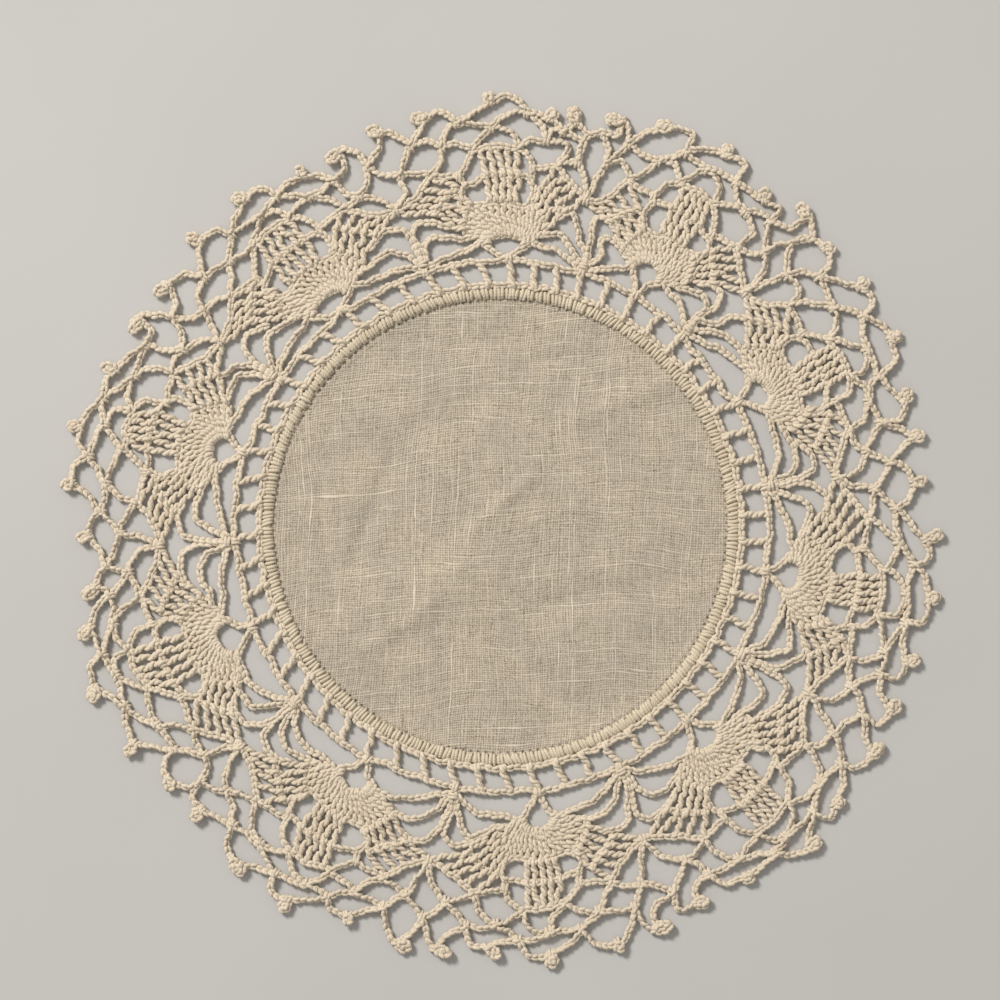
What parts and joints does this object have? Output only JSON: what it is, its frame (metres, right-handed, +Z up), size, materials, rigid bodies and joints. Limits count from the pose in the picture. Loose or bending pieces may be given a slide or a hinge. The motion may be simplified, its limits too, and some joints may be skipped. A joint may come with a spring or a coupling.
{
  "type": "lace doily",
  "caption": "Round lace doily with a plain woven linen centre, a stitched edge and an openwork crochet border with a scalloped picot rim, which lies flat as a table mat.",
  "frame": {"origin": "centre of the linen round's underside, on the surface that the doily lies on", "axes": "+Z up out of that surface; +X to the right and +Y to the top of the picture, which looks straight down"},
  "size_m": [0.2925, 0.2911, 0.0023],
  "materials": {
    "linen": "matt, unbleached plain weave",
    "cotton_cord": "matt, cream twisted cotton"
  },
  "bodies": {
    "root": {"linen_centre": "linen", "edge_stitching": "cotton_cord", "crochet_border": "cotton_cord"}
  },
  "joints": []
}
